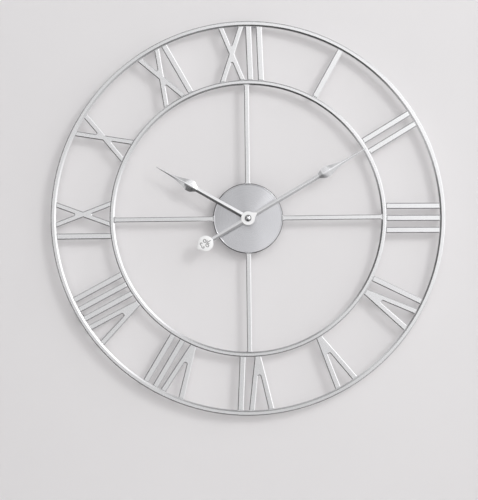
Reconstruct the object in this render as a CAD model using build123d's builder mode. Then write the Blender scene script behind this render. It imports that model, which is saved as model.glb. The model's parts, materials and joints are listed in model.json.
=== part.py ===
from build123d import *
import os
from math import acos, cos, pi, radians, sin, tan

# Large skeleton wall clock: two metal hoops joined by roman numerals, four spokes, a centre disc,
# and a battery quartz movement behind the disc that turns two ridged hands.
# Millimetres. +Z is up, +X is the viewer's right, and the dial faces -Y.
# The origin is where the hand axis meets the wall, so "depth" below means distance out from the wall.
# Dial angles are degrees clockwise from twelve, as the viewer sees them.

os.makedirs("parts", exist_ok=True)

# ---------------------------------------------------------------- driving dimensions: frame
OUTER_RADIUS = 380.0
OUTER_FACE = 10.0                 # radial width of the outer hoop
INNER_RADIUS = 257.0              # inside of the inner hoop
INNER_FACE = 9.5
FRAME_BACK = 16.0
FRAME_FRONT = 26.0
INNER_HOOP_BACK = 18.0
HOOP_OUTSIDE_BEVEL = (2.0, 1.6)   # bevel of each hoop's outer front edge: across its face, into its depth
HOOP_INSIDE_BEVEL = (3.0, 2.2)    # the same for the edge towards the dial's centre
NUMERAL_INSIDE = INNER_RADIUS + INNER_FACE
NUMERAL_OUTSIDE = OUTER_RADIUS - OUTER_FACE
NUMERAL_BACK = 21.4
NUMERAL_FRONT = 25.0
BEVEL_RUN = 1.6                   # bevel round each numeral plate, across its face
BEVEL_DROP = 1.3                  # the same bevel, into its depth

STROKE = 11.4                     # straight stroke, and the tangential width of a V leg
CROSS_STROKE = 10.4
V_TOP = 49.4
V_FOOT = 12.2
V_NOTCH_HEIGHT = 36.5             # from the inner hoop up to the bottom of the notch
V_NOTCH_WIDTH = 5.0
V_NOTCH_FILLET = 2.0
X_TOP = 49.8
X_FOOT = 48.6
X_CROTCH_FILLET = 1.6
X_CROTCH_REACH = 22.0             # the crotches of an X lie this near its middle
STROKE_RUN_ON = 6.0               # strokes are drawn this far past the hoops, then cut to their curves

# Each hour: groups of strokes, each group square to its own radius.
# A group is (degrees from the hour, [(letter, offset across the radius), ...]).
NUMERALS = {
    1: [(-0.5, [("I", 0.0)])],
    2: [(-0.7, [("I", -11.8), ("I", 11.8)])],
    3: [(0.5, [("I", -23.2), ("I", 0.0), ("I", 23.2)])],
    4: [(-3.7, [("I", 0.0)]), (2.6, [("V", 0.0)])],
    5: [(-0.2, [("V", 0.0)])],
    6: [(-3.4, [("V", 0.0)]), (2.9, [("I", 0.0)])],
    7: [(-6.0, [("V", 0.0)]), (1.2, [("I", -10.5), ("I", 10.5)])],
    8: [(-6.9, [("V", 0.0)]), (2.3, [("I", -20.6), ("I", 0.0), ("I", 20.6)])],
    9: [(0.0, [("I", -30.6), ("X", 11.4)])],
    10: [(-0.1, [("X", 0.0)])],
    11: [(0.6, [("X", -8.6), ("I", 26.6)])],
    12: [(-1.8, [("X", -17.7), ("I", 16.2), ("I", 36.6)])],
}

SPOKE_WIDTH = 9.0
SPOKE_BACK = 21.5
SPOKE_BEVEL = (1.3, 0.9)
SPOKE_FLARE = 2.2                 # how far each spoke spreads at its welded ends, per side
DISC_RADIUS = 67.5
DISC_BACK = 23.0
DISC_EDGE = 1.1                   # bevel outside the rim's bead
DISC_BEAD_WIDTH = 2.2
DISC_BEAD_RISE = 0.8

# ---------------------------------------------------------------- driving dimensions: wall side
FOOT_ANGLES = {4: 120.0, 8: 240.0}
FOOT_RADIUS = 4.2
BUMPER_RADIUS = 4.8
BUMPER_DEPTH = 3.0
HOOP_MIDDLE = OUTER_RADIUS - OUTER_FACE / 2
HANGER_LENGTH = 64.0
HANGER_WIDTH = 8.0
HANGER_HEIGHT = 374.2             # of the strap's middle, kept behind the hoop's face
HANGER_SHEET = 1.5
HANGER_REAR = 2.0
HANGER_BRIDGE = 34.0
HANGER_SLOPE = 8.0
HANGER_HOLE_RADIUS = 2.5

# ---------------------------------------------------------------- driving dimensions: hands
HOUR_DIAL_ANGLE = 300.0
MINUTE_DIAL_ANGLE = 60.0
HAND_EDGE = 0.9                   # sheet thickness at a hand's edge
HAND_RIDGE_SLOPE = 0.43           # the pressed ridge's rise over that edge, per half width
HAND_RISE_MOST = 3.9              # its greatest rise, at the spade
HAND_BOSS_SHEET = 2.0
HAND_BOSS_EDGE = 0.3
HOUR_HAND_BACK = 31.8
MINUTE_HAND_BACK = 37.0
HAND_BOSS_RADIUS = 13.2
HOUR_BUSH_RADIUS = 5.4
HOUR_BUSH_SPAN = (30.8, 35.0)
MINUTE_BUSH_RADIUS = 5.0
MINUTE_BUSH_REAR = 36.4
BOSS_PLATE_SHEET = 1.2
BOSS_PLATE_EDGE = 0.35
BOSS_LUG_POINT = 19.5             # the plate's lug reaches this far along the minute hand
BOSS_LUG_RADIUS = 1.8
BOSS_LUG_ROOT = 4.0
# (distance from the hand axis, half width) along each hand
HOUR_BLADE = [(9.0, 5.0), (60.0, 4.9), (112.0, 4.6), (116.5, 6.6), (121.0, 9.6), (126.0, 11.3), (131.0, 11.4),
              (137.0, 9.6), (146.0, 6.6), (156.0, 4.2), (167.0, 2.6), (185.0, 1.7), (202.0, 0.7)]
MINUTE_BLADE = [(9.0, 4.7), (80.0, 4.5), (156.0, 4.2), (161.0, 6.2), (166.0, 8.8), (171.0, 10.3),
                (176.0, 10.5), (183.0, 8.9), (193.0, 6.0), (205.0, 3.8), (220.0, 2.7), (242.0, 1.7),
                (262.0, 0.7)]
TAIL = [(9.0, 4.7), (45.0, 4.1), (78.5, 3.9)]
BOSS_PLATE_BACK = MINUTE_HAND_BACK + HAND_EDGE + HAND_RIDGE_SLOPE * TAIL[0][1]
TAIL_TAB_END = 103.0
MEDALLION_NECK = 83.1
MEDALLION_CENTRE = 94.6
MEDALLION_POINT = 109.0
MEDALLION_RADIUS = 15.0
MEDALLION_END_RADIUS = 4.4
MEDALLION_SHEET = 3.6
MEDALLION_BEVEL = 1.3
RIVET_RADIUS = 1.5
RIVET_HEAD_RADIUS = 2.4
RIVET_HEAD = 0.6
RIVET_REACH = 2.4                 # into the medallion, from its back
CAP_RADIUS = 6.0
CAP_SKIRT = 1.6
CAP_HEIGHT = 6.4
CAP_HOLLOW = 1.7
BOSS_PLATE_BORE_RADIUS = CAP_RADIUS + 0.9

# ---------------------------------------------------------------- driving dimensions: movement
CASE_SIZE = 56.0
CASE_WALL = 1.2
CASE_BACK = 5.5
CASE_SPLIT = 9.5                  # where the rear cover meets the front case
CASE_FRONT = 22.0
CASE_INNER = CASE_SIZE / 2 - CASE_WALL
CASE_CORNER = 3.0
CASE_EDGE = 0.6
COVER_INSIDE = CASE_BACK + CASE_WALL
FRONT_INSIDE = CASE_FRONT - CASE_WALL
BUSH_THREAD_RADIUS = 4.0
BUSH_BORE_RADIUS = 2.63
BUSH_REAR = 19.6
BUSH_FRONT = 30.0
BUSH_FLANGE_RADIUS = 6.5
GASKET_RADIUS = 13.0
GASKET_BORE_RADIUS = BUSH_THREAD_RADIUS + 0.3
WASHER_RADIUS = 8.0
WASHER_BORE_RADIUS = BUSH_THREAD_RADIUS + 0.1
DISC_BORE_RADIUS = BUSH_THREAD_RADIUS + 0.2
NUT_FLATS = 13.0
NUT_BACK = 26.8
NUT_FRONT = 29.3

BATTERY_RADIUS = 7.2
BATTERY_LENGTH = 50.0
BATTERY_NUB = 1.3
BATTERY_EDGE = 0.5
BATTERY_DEPTH = 13.2              # depth of the cell's axis
BATTERY_HEIGHT = -19.3
BAY_HALF_LENGTH = 25.9
BAY_TOP = BATTERY_HEIGHT + BATTERY_RADIUS + 0.2
BAY_BOTTOM = BATTERY_HEIGHT - BATTERY_RADIUS - 0.2
BATTERY_NUB_RADIUS = 2.7
BAY_WALL = 1.0
CONTACT_INSIDE = 26.2             # from the middle of the case to each strip's inner face
CONTACT_SHEET = 0.4
CONTACT_REAR, CONTACT_FRONT = 10.8, 19.6
CONTACT_FOOT, CONTACT_TOP = -24.0, 24.5
CONTACT_GAP = 0.08                # left free at each end of the cell, so that it slides out
CONTACT_PAD_RADIUS = 2.2
SPRING_HALF = 5.5
SPRING_ROOT = 1.2                 # how much the bowed spring thickens at each end

COIL_LEFT, COIL_RIGHT = 1.0, 22.8
COIL_HEIGHT = 22.5
COIL_DEPTH = 14.8
LEG_WIDTH = 3.4
LEG_TOP = 24.6
STATOR_REAR = 13.0
STATOR_SHEET = 1.2
STATOR_BORE = 3.3
STATOR_STEP = 0.4                 # heights and half widths of the loop round the rotor, from its centre
STATOR_LOOP_TOP, STATOR_LOOP_BOTTOM = 4.8, 4.6
STATOR_LOOP_HALF, STATOR_FOOT_HALF = 6.0, 4.1
CORE_HALF_HEIGHT = 1.6
BOBBIN_HALF = 2.1
BOBBIN_FLANGE = 0.8
FLANGE_HALF = 3.4
WINDING_HALF = 3.1

BOARD_REAR = 18.8
BOARD_SHEET = 0.8
BOARD_BOTTOM, BOARD_TOP = 15.4, 26.0
CRYSTAL_X, CRYSTAL_Z = -20.0, 21.0
CRYSTAL_RADIUS = 1.0
CRYSTAL_LENGTH = 6.0
CRYSTAL_EDGE = 0.2
CHIP_X = -6.0
CHIP_RADIUS = 2.6
CHIP_HEIGHT = 1.2
CHIP_EDGE = 0.5

PRESSURE_ANGLE = radians(28.0)
ADDENDUM = 0.8
DEDENDUM = 1.05
BACKLASH = 0.16                   # part of the module taken off each tooth's thickness

ROTOR_PINION, INTERMEDIATE_TEETH = 8, 40
INTERMEDIATE_PINION, SECONDS_TEETH = 8, 48
SECONDS_PINION, THIRD_TEETH = 8, 60
THIRD_PINION, CENTRE_TEETH = 8, 64
CANNON_TEETH, MINUTE_WHEEL_TEETH = 12, 36
MINUTE_PINION, HOUR_TEETH = 10, 40
KNOB_TEETH = 12

ROTOR_MODULE = 0.30
SECONDS_MODULE = 0.36
THIRD_MODULE = 0.30
CANNON_MODULE = 0.40
THIRD_DISTANCE = THIRD_MODULE * (SECONDS_PINION + THIRD_TEETH) / 2
CENTRE_MODULE = 2 * THIRD_DISTANCE / (THIRD_PINION + CENTRE_TEETH)
CANNON_DISTANCE = CANNON_MODULE * (CANNON_TEETH + MINUTE_WHEEL_TEETH) / 2
HOUR_MODULE = 2 * CANNON_DISTANCE / (MINUTE_PINION + HOUR_TEETH)


def along(start, distance, angle_deg):
    """The point at a distance and an angle (anticlockwise from +X) from another, as (x, z)."""
    angle = radians(angle_deg)
    return (start[0] + distance * cos(angle), start[1] + distance * sin(angle))


HUB = (0.0, 0.0)
TO_INTERMEDIATE, TO_ROTOR, TO_THIRD, TO_MINUTE_WHEEL, TO_KNOB = 60.0, 12.0, 150.0, -15.0, -7.0
INTERMEDIATE_AT = along(HUB, SECONDS_MODULE * (INTERMEDIATE_PINION + SECONDS_TEETH) / 2, TO_INTERMEDIATE)
ROTOR_AT = along(INTERMEDIATE_AT, ROTOR_MODULE * (ROTOR_PINION + INTERMEDIATE_TEETH) / 2, TO_ROTOR)
THIRD_AT = along(HUB, THIRD_DISTANCE, TO_THIRD)
MINUTE_WHEEL_AT = along(HUB, CANNON_DISTANCE, TO_MINUTE_WHEEL)
KNOB_AT = along(MINUTE_WHEEL_AT, CANNON_MODULE * (MINUTE_WHEEL_TEETH + KNOB_TEETH) / 2, TO_KNOB)

ARBOR_RADIUS = 0.4
SECONDS_ARBOR_RADIUS = 0.5
PIVOT_CLEARANCE = 0.06
ARBOR_REAR = 6.1
ARBOR_FRONT = 20.5
CANNON_RADIUS = 1.6
CANNON_BORE = 0.58
CANNON_REAR = 11.9
CANNON_FRONT = BOSS_PLATE_BACK
CANNON_FLANGE_RADIUS = 2.2
CANNON_FLANGE = 0.4
HOUR_TUBE_RADIUS = 2.55
HOUR_TUBE_BORE = 1.68
HOUR_TUBE_FRONT = 35.2
THREAD_TIP_RADIUS = 1.3
CAP_FRONT = CANNON_FRONT + CAP_HEIGHT
THREAD_TIP_FRONT = CAP_FRONT - CAP_HOLLOW - 0.1
SECONDS_ARBOR_FRONT = THREAD_TIP_FRONT - 1.0
POST_RADIUS = 0.8
POST_REAR = 14.6
BEARING_RADIUS = 1.3
BEARING_REAR_FRONT = 7.4          # front of the rear cover's bearings
BEARING_FRONT_REAR = 19.6         # rear of the front case's bearings
KNOB_BEARING_RADIUS = 1.9
KNOB_BEARING_REAR = 17.5
KNOB_STEM_RADIUS = 1.0
KNOB_RADIUS = 6.0
KNOB_REAR = 2.2
KNOB_FRONT = 5.3
KNOB_FLUTES = 24
KNOB_FLUTE_RADIUS = 0.55
BLIND_END = 0.1                   # bosses stop this far inside the case's face
PIVOT_PLAY = 0.2                  # each blind bearing is this much deeper than its arbor reaches

# Rear and front depth of each gear; meshing gears share a part of theirs
ROTOR_PINION_SPAN, ROTOR_COLLAR_SPAN, MAGNET_SPAN = (9.2, 10.8), (10.8, 12.2), (12.4, 14.8)
INTERMEDIATE_PINION_SPAN, INTERMEDIATE_SPAN = (7.6, 9.6), (9.6, 10.2)
SECONDS_SPAN, SECONDS_PINION_SPAN = (8.2, 8.8), (8.8, 11.6)
THIRD_SPAN, THIRD_PINION_SPAN = (10.6, 11.2), (11.2, 13.8)
CENTRE_SPAN, CENTRE_HUB_SPAN = (12.8, 13.4), (12.4, 14.2)
CANNON_PINION_SPAN = (14.4, 16.6)
KNOB_PINION_SPAN = (14.9, 16.2)
MINUTE_WHEEL_SPAN, MINUTE_PINION_SPAN = (15.1, 15.7), (15.7, 18.8)
HOUR_WHEEL_SPAN = (17.4, 18.2)
ROTOR_COLLAR_RADIUS = 0.9
MAGNET_RADIUS = 2.7
CENTRE_HUB_RADIUS = 2.9


# ---------------------------------------------------------------- helpers
def dial_plane(depth, dial_deg=0.0):
    """The plane at a depth, facing the viewer, whose own Y axis points at a dial angle."""
    turn = radians(dial_deg)
    return Plane(origin=(0, -depth, 0), x_dir=(cos(turn), 0, -sin(turn)), z_dir=(0, -1, 0))


def arbor_plane(depth, centre):
    """The plane at a depth, facing the viewer, centred on an arbor at (x, z)."""
    return Plane(origin=(centre[0], -depth, centre[1]), x_dir=(1, 0, 0), z_dir=(0, -1, 0))


def save(part, label):
    """Label a finished piece and write it to its own file."""
    part.label = label
    export_step(part, f"parts/{label}.step")


def stepped_round(centre, steps, bore=0.0):
    """A turned piece: round steps of (radius, (rear depth, front depth)), bored through if it has a bore."""
    with BuildPart() as turned:
        for radius, (rear, front) in steps:
            with BuildSketch(arbor_plane(rear, centre)):
                Circle(radius)
            extrude(amount=front - rear)
        if bore:
            rear, front = min(span[0] for _, span in steps), max(span[1] for _, span in steps)
            with BuildSketch(arbor_plane(rear, centre)):
                Circle(bore)
            extrude(amount=front - rear, mode=Mode.SUBTRACT)
    return turned.part


def involute(angle):
    return tan(angle) - angle


def gear_points(teeth, module, phase):
    """Corners of an involute gear's outline, with a tooth centred on the angle phase."""
    pitch_radius = teeth * module / 2
    base_radius = pitch_radius * cos(PRESSURE_ANGLE)
    root, tip = pitch_radius - DEDENDUM * module, pitch_radius + ADDENDUM * module
    half_tooth = pi / (2 * teeth) - BACKLASH * module / (2 * pitch_radius)
    flank = []
    for radius in (root, max(root, (root + pitch_radius) / 2), pitch_radius, (pitch_radius + tip) / 2, tip):
        roll = acos(min(1.0, base_radius / radius))
        flank.append((radius, half_tooth + involute(PRESSURE_ANGLE) - involute(roll)))
    corners = []
    for index in range(teeth):
        middle = phase + 2 * pi * index / teeth
        corners += [(r * cos(middle - half), r * sin(middle - half)) for r, half in flank]
        corners += [(r * cos(middle + half), r * sin(middle + half)) for r, half in reversed(flank)]
    return corners


def meshed_phase(phase, teeth, other_teeth, line_deg):
    """Phase of a gear that meshes with one of known phase, along the line from that one to it."""
    line = radians(line_deg)
    return line + pi - (phase - line) * teeth / other_teeth + pi / other_teeth


def geared_arbor(centre, gears, rounds, bore=0.0, bore_span=None):
    """One moulded wheel: gears (teeth, module, phase, span) and round steps (radius, span) on one axis."""
    with BuildPart() as wheel:
        for teeth, module, phase, (rear, front) in gears:
            with BuildSketch(arbor_plane(rear, centre)):
                with BuildLine():
                    Polyline(*gear_points(teeth, module, phase), close=True)
                make_face()
            extrude(amount=front - rear)
        for radius, (rear, front) in rounds:
            with BuildSketch(arbor_plane(rear, centre)):
                Circle(radius)
            extrude(amount=front - rear)
        if bore:
            with BuildSketch(arbor_plane(bore_span[0], centre)):
                Circle(bore)
            extrude(amount=bore_span[1] - bore_span[0], mode=Mode.SUBTRACT)
    return wheel.part


# ---------------------------------------------------------------- frame: hoops, numerals, spokes, disc
def make_hoop(inside, outside, back):
    """A hoop of flat bar, with both front edges bevelled."""
    out_run, out_drop = HOOP_OUTSIDE_BEVEL
    in_run, in_drop = HOOP_INSIDE_BEVEL
    with BuildPart() as hoop:
        with BuildSketch(Plane.XY):
            with BuildLine():
                Polyline((outside, -back), (inside, -back), (inside, -FRAME_FRONT + in_drop),
                         (inside + in_run, -FRAME_FRONT), (outside - out_run, -FRAME_FRONT),
                         (outside, -FRAME_FRONT + out_drop), close=True)
            make_face()
        revolve(axis=Axis.Y)
    return hoop.part


def stroke_outline(letter):
    """Outlines of a letter's strokes in (across, radial), run on past both hoops."""
    past = STROKE_RUN_ON
    low, high = NUMERAL_INSIDE - past, NUMERAL_OUTSIDE + past
    span = NUMERAL_OUTSIDE - NUMERAL_INSIDE
    if letter == "I":
        half = STROKE / 2
        return [[(-half, low), (half, low), (half, high), (-half, high)]]
    if letter == "V":
        slope = (V_TOP - V_FOOT) / 2 / span
        top, foot = V_TOP / 2 + past * slope, V_FOOT / 2 - past * slope
        notch = NUMERAL_INSIDE + V_NOTCH_HEIGHT
        inner_top = V_TOP / 2 - STROKE + past * slope
        half_notch = V_NOTCH_WIDTH / 2
        return [[(-foot, low), (foot, low), (top, high), (inner_top, high), (half_notch, notch),
                 (-half_notch, notch), (-inner_top, high), (-top, high)]]
    outlines = []
    top, foot = (X_TOP - CROSS_STROKE) / 2, (X_FOOT - CROSS_STROKE) / 2
    lean = (top + foot) / span
    half = CROSS_STROKE / 2
    for side in (-1, 1):
        at_high, at_low = side * (top + past * lean), -side * (foot + past * lean)
        outlines.append([(at_low - half, low), (at_low + half, low),
                         (at_high + half, high), (at_high - half, high)])
    return outlines


def make_numeral(hour):
    """One roman numeral: bevelled plates cut to the hoops' curves."""
    with BuildPart() as numeral:
        for lean, letters in NUMERALS[hour]:
            for letter, across in letters:
                with BuildSketch(dial_plane(NUMERAL_BACK, 30 * hour + lean)) as plate:
                    for outline in stroke_outline(letter):
                        with BuildLine():
                            Polyline(*[(across + u, v) for u, v in outline], close=True)
                        make_face()
                    if letter == "V":
                        notch = NUMERAL_INSIDE + V_NOTCH_HEIGHT
                        low, high = notch - 1, notch + 1
                        fillet(plate.vertices().filter_by(lambda v: low < v.Y < high), V_NOTCH_FILLET)
                    if letter == "X":
                        middle = (NUMERAL_INSIDE + NUMERAL_OUTSIDE) / 2
                        crotches = plate.vertices().filter_by(lambda v: abs(v.Y - middle) < X_CROTCH_REACH)
                        fillet(crotches, X_CROTCH_FILLET)
                    Circle(NUMERAL_OUTSIDE, mode=Mode.INTERSECT)
                    Circle(NUMERAL_INSIDE, mode=Mode.SUBTRACT)
                extrude(amount=NUMERAL_FRONT - NUMERAL_BACK)
        for front in numeral.faces().group_by(Axis.Y)[0]:
            chamfer(front.outer_wire().edges(), BEVEL_RUN, BEVEL_DROP, reference=front)
    return numeral.part


def make_spoke(dial_deg):
    """A flat bar from the disc to the inner hoop, spread a little where it is welded at each end."""
    half, wide = SPOKE_WIDTH / 2, SPOKE_WIDTH / 2 + SPOKE_FLARE
    reach = 2 * SPOKE_FLARE
    inner, outer = DISC_RADIUS - 1, INNER_RADIUS + 1
    with BuildPart() as spoke:
        with BuildSketch(dial_plane(SPOKE_BACK, dial_deg)):
            with BuildLine():
                right_foot = Spline((wide, inner), (half, inner + 1 + reach), tangents=((-1, 1), (0, 1)))
                right_side = Line(right_foot @ 1, (half, outer - 1 - reach))
                right_top = Spline(right_side @ 1, (wide, outer), tangents=((0, 1), (1, 1)))
                top = Line(right_top @ 1, (-wide, outer))
                left_top = Spline(top @ 1, (-half, outer - 1 - reach), tangents=((1, -1), (0, -1)))
                left_side = Line(left_top @ 1, (-half, inner + 1 + reach))
                left_foot = Spline(left_side @ 1, (-wide, inner), tangents=((0, -1), (-1, -1)))
                Line(left_foot @ 1, right_foot @ 0)
            make_face()
            Circle(INNER_RADIUS, mode=Mode.INTERSECT)
            Circle(DISC_RADIUS, mode=Mode.SUBTRACT)
        extrude(amount=FRAME_FRONT - SPOKE_BACK)
        front = spoke.faces().sort_by(Axis.Y)[0]
        sides = front.edges().sort_by(SortBy.LENGTH)[-2:]
        chamfer(sides, *SPOKE_BEVEL, reference=front)
    return spoke.part


def make_disc():
    """The round plate that carries the movement: a pressed bead round its rim, a hole for the bush."""
    bead_out = DISC_RADIUS - DISC_EDGE
    bead_in = bead_out - DISC_BEAD_WIDTH
    crest = ((bead_out + bead_in) / 2, -FRAME_FRONT - DISC_BEAD_RISE)
    with BuildPart() as disc:
        with BuildSketch(Plane.XY):
            with BuildLine():
                plate = Polyline((bead_in, -FRAME_FRONT), (DISC_BORE_RADIUS, -FRAME_FRONT),
                                 (DISC_BORE_RADIUS, -DISC_BACK), (DISC_RADIUS, -DISC_BACK),
                                 (DISC_RADIUS, -FRAME_FRONT + DISC_EDGE), (bead_out, -FRAME_FRONT))
                ThreePointArc(plate @ 1, crest, plate @ 0)
            make_face()
        revolve(axis=Axis.Y)
    return disc.part


# ---------------------------------------------------------------- wall side: hanger and feet
def make_hanger():
    """A strap of sheet folded like a hat: feet on the hoop's back, and a bridge with a hole for a nail."""
    half, bridge = HANGER_LENGTH / 2, HANGER_BRIDGE / 2
    rear = HANGER_REAR + HANGER_SHEET
    with BuildPart() as hanger:
        with BuildSketch(Plane.XY.offset(HANGER_HEIGHT - HANGER_WIDTH / 2)):
            with BuildLine():
                Polyline((-half, -FRAME_BACK), (-bridge - HANGER_SLOPE, -FRAME_BACK), (-bridge, -rear),
                         (bridge, -rear), (bridge + HANGER_SLOPE, -FRAME_BACK), (half, -FRAME_BACK))
                offset(amount=HANGER_SHEET, side=Side.LEFT)
            make_face()
        extrude(amount=HANGER_WIDTH)
        with BuildSketch(arbor_plane(0, (0, HANGER_HEIGHT))):
            Circle(HANGER_HOLE_RADIUS)
        extrude(amount=FRAME_BACK / 2, mode=Mode.SUBTRACT)
    return hanger.part


def foot_centre(dial_deg):
    return (HOOP_MIDDLE * sin(radians(dial_deg)), HOOP_MIDDLE * cos(radians(dial_deg)))


# ---------------------------------------------------------------- hands
def across_plane(dial_deg, back, distance):
    """A plane across a hand at a distance from its axis; its own Y axis points at the viewer."""
    turn = radians(dial_deg)
    foot = (distance * sin(turn), -back, distance * cos(turn))
    return Plane(origin=foot, x_dir=(-cos(turn), 0, sin(turn)), z_dir=(sin(turn), 0, cos(turn)))


def make_hand(dial_deg, back, blade, bush_radius, tail=None):
    """A pressed strip with a central ridge, and its tail if it has one, round a flat boss."""
    arms = [(dial_deg, blade)]
    if tail:
        arms.append((dial_deg + 180, tail))
    with BuildPart() as hand:
        for arm_deg, stations in arms:
            for distance, half in stations:
                ridge = HAND_EDGE + min(HAND_RISE_MOST, half * HAND_RIDGE_SLOPE)
                with BuildSketch(across_plane(arm_deg, back, distance)):
                    with BuildLine():
                        Polyline((-half, 0), (half, 0), (half, HAND_EDGE), (0, ridge), (-half, HAND_EDGE),
                                 close=True)
                    make_face()
            loft(ruled=True)
        with BuildSketch(dial_plane(back)):
            Circle(HAND_BOSS_RADIUS)
        extrude(amount=HAND_BOSS_SHEET)
        boss = hand.faces().sort_by(SortBy.AREA)[-1]
        chamfer(boss.outer_wire().edges().filter_by(GeomType.CIRCLE), HAND_BOSS_EDGE)
        if tail:
            end, half = tail[-1]
            with BuildSketch(dial_plane(back, dial_deg + 180)):
                with Locations((0, (end + TAIL_TAB_END) / 2)):
                    Rectangle(2 * half, TAIL_TAB_END - end)
            extrude(amount=HAND_EDGE)
            with BuildSketch(dial_plane(back, dial_deg + 180)):
                with Locations((0, MEDALLION_CENTRE)):
                    Circle(RIVET_RADIUS)
            extrude(amount=HAND_EDGE, mode=Mode.SUBTRACT)
        with BuildSketch(dial_plane(back)):
            Circle(bush_radius)
        extrude(amount=4 * HAND_BOSS_SHEET, mode=Mode.SUBTRACT)
    return hand.part


def make_boss_plate():
    """The ring glued on the minute hand's middle, round the cap nut, with a lug along the hand."""
    with BuildPart() as plate:
        with BuildSketch(dial_plane(BOSS_PLATE_BACK, MINUTE_DIAL_ANGLE)):
            with Locations((0, BOSS_LUG_POINT - BOSS_LUG_RADIUS), (0, BOSS_LUG_ROOT)):
                Circle(BOSS_LUG_RADIUS)
            with Locations((0, BOSS_LUG_ROOT)):
                Circle(HAND_BOSS_RADIUS - BOSS_LUG_ROOT)
            make_hull()
            Circle(HAND_BOSS_RADIUS)
            Circle(BOSS_PLATE_BORE_RADIUS, mode=Mode.SUBTRACT)
        extrude(amount=BOSS_PLATE_SHEET)
        front = plate.faces().sort_by(Axis.Y)[0]
        chamfer(front.outer_wire().edges(), BOSS_PLATE_EDGE)
    return plate.part


def make_medallion(back):
    """The leaf-shaped counterweight on the minute hand's tail, with a blind hole for its rivet."""
    with BuildPart() as medallion:
        with BuildSketch(dial_plane(back, MINUTE_DIAL_ANGLE + 180)) :
            with Locations((0, MEDALLION_CENTRE)):
                Circle(MEDALLION_RADIUS)
            with Locations((0, MEDALLION_NECK), (0, MEDALLION_POINT)):
                Circle(MEDALLION_END_RADIUS)
            make_hull()
        extrude(amount=MEDALLION_SHEET)
        chamfer(medallion.faces().sort_by(Axis.Y)[0].outer_wire().edges(), MEDALLION_BEVEL)
        with BuildSketch(dial_plane(back, MINUTE_DIAL_ANGLE + 180)):
            with Locations((0, MEDALLION_CENTRE)):
                Circle(RIVET_RADIUS)
        extrude(amount=RIVET_REACH, mode=Mode.SUBTRACT)
    return medallion.part


def make_rivet(back):
    """The rivet from behind that holds the medallion to the tail."""
    turn = radians(MINUTE_DIAL_ANGLE + 180)
    centre = (MEDALLION_CENTRE * sin(turn), MEDALLION_CENTRE * cos(turn))
    return stepped_round(centre, [(RIVET_HEAD_RADIUS, (back - RIVET_HEAD, back)),
                                  (RIVET_RADIUS, (back, back + HAND_EDGE + RIVET_REACH))])


def make_cap_nut():
    """The domed nut on the tip of the minute arbor, open at its back for the thread."""
    seat = CANNON_FRONT
    with BuildPart() as nut:
        with BuildSketch(Plane.XY):
            with BuildLine():
                hollow = -CAP_FRONT + CAP_HOLLOW
                bottom = Polyline((0, hollow), (THREAD_TIP_RADIUS, hollow), (THREAD_TIP_RADIUS, -seat),
                                  (CAP_RADIUS, -seat), (CAP_RADIUS, -seat - CAP_SKIRT))
                dome = EllipticalCenterArc((0, -seat - CAP_SKIRT), CAP_RADIUS, CAP_FRONT - seat - CAP_SKIRT,
                                           start_angle=-90, arc_size=90)
                Line(dome @ 0, bottom @ 0)
            make_face()
        revolve(axis=Axis.Y)
    return nut.part


# ---------------------------------------------------------------- movement: case and fixed pieces
def case_outline():
    RectangleRounded(CASE_SIZE, CASE_SIZE, CASE_CORNER)


def case_hollow():
    RectangleRounded(2 * CASE_INNER, 2 * CASE_INNER, CASE_CORNER - CASE_WALL)


def make_front_case():
    """The shell behind the disc: face, walls, a post for the minute wheel and bearings for the train."""
    bearings = [ROTOR_AT, INTERMEDIATE_AT, THIRD_AT]
    with BuildPart() as case:
        with BuildSketch(dial_plane(CASE_SPLIT)):
            case_outline()
        extrude(amount=CASE_FRONT - CASE_SPLIT)
        with BuildSketch(dial_plane(CASE_SPLIT)):
            case_hollow()
        extrude(amount=FRONT_INSIDE - CASE_SPLIT, mode=Mode.SUBTRACT)
        chamfer(case.faces().sort_by(Axis.Y)[0].outer_wire().edges(), CASE_EDGE)
        for centre in bearings:
            with BuildSketch(arbor_plane(BEARING_FRONT_REAR, centre)):
                Circle(BEARING_RADIUS)
            extrude(amount=CASE_FRONT - BEARING_FRONT_REAR - BLIND_END)
        with BuildSketch(arbor_plane(KNOB_BEARING_REAR, KNOB_AT)):
            Circle(KNOB_BEARING_RADIUS)
        extrude(amount=CASE_FRONT - KNOB_BEARING_REAR - BLIND_END)
        with BuildSketch(arbor_plane(POST_REAR, MINUTE_WHEEL_AT)):
            Circle(POST_RADIUS)
        extrude(amount=CASE_FRONT - POST_REAR - BLIND_END)
        for centre in bearings:
            with BuildSketch(arbor_plane(BEARING_FRONT_REAR, centre)):
                Circle(ARBOR_RADIUS + PIVOT_CLEARANCE)
            extrude(amount=ARBOR_FRONT + PIVOT_PLAY - BEARING_FRONT_REAR, mode=Mode.SUBTRACT)
        with BuildSketch(arbor_plane(KNOB_BEARING_REAR, KNOB_AT)):
            Circle(KNOB_STEM_RADIUS + PIVOT_CLEARANCE)
        extrude(amount=ARBOR_FRONT + PIVOT_PLAY - KNOB_BEARING_REAR, mode=Mode.SUBTRACT)
        with BuildSketch(dial_plane(FRONT_INSIDE)):
            Circle(BUSH_THREAD_RADIUS)
        extrude(amount=CASE_WALL, mode=Mode.SUBTRACT)
    return case.part


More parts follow.
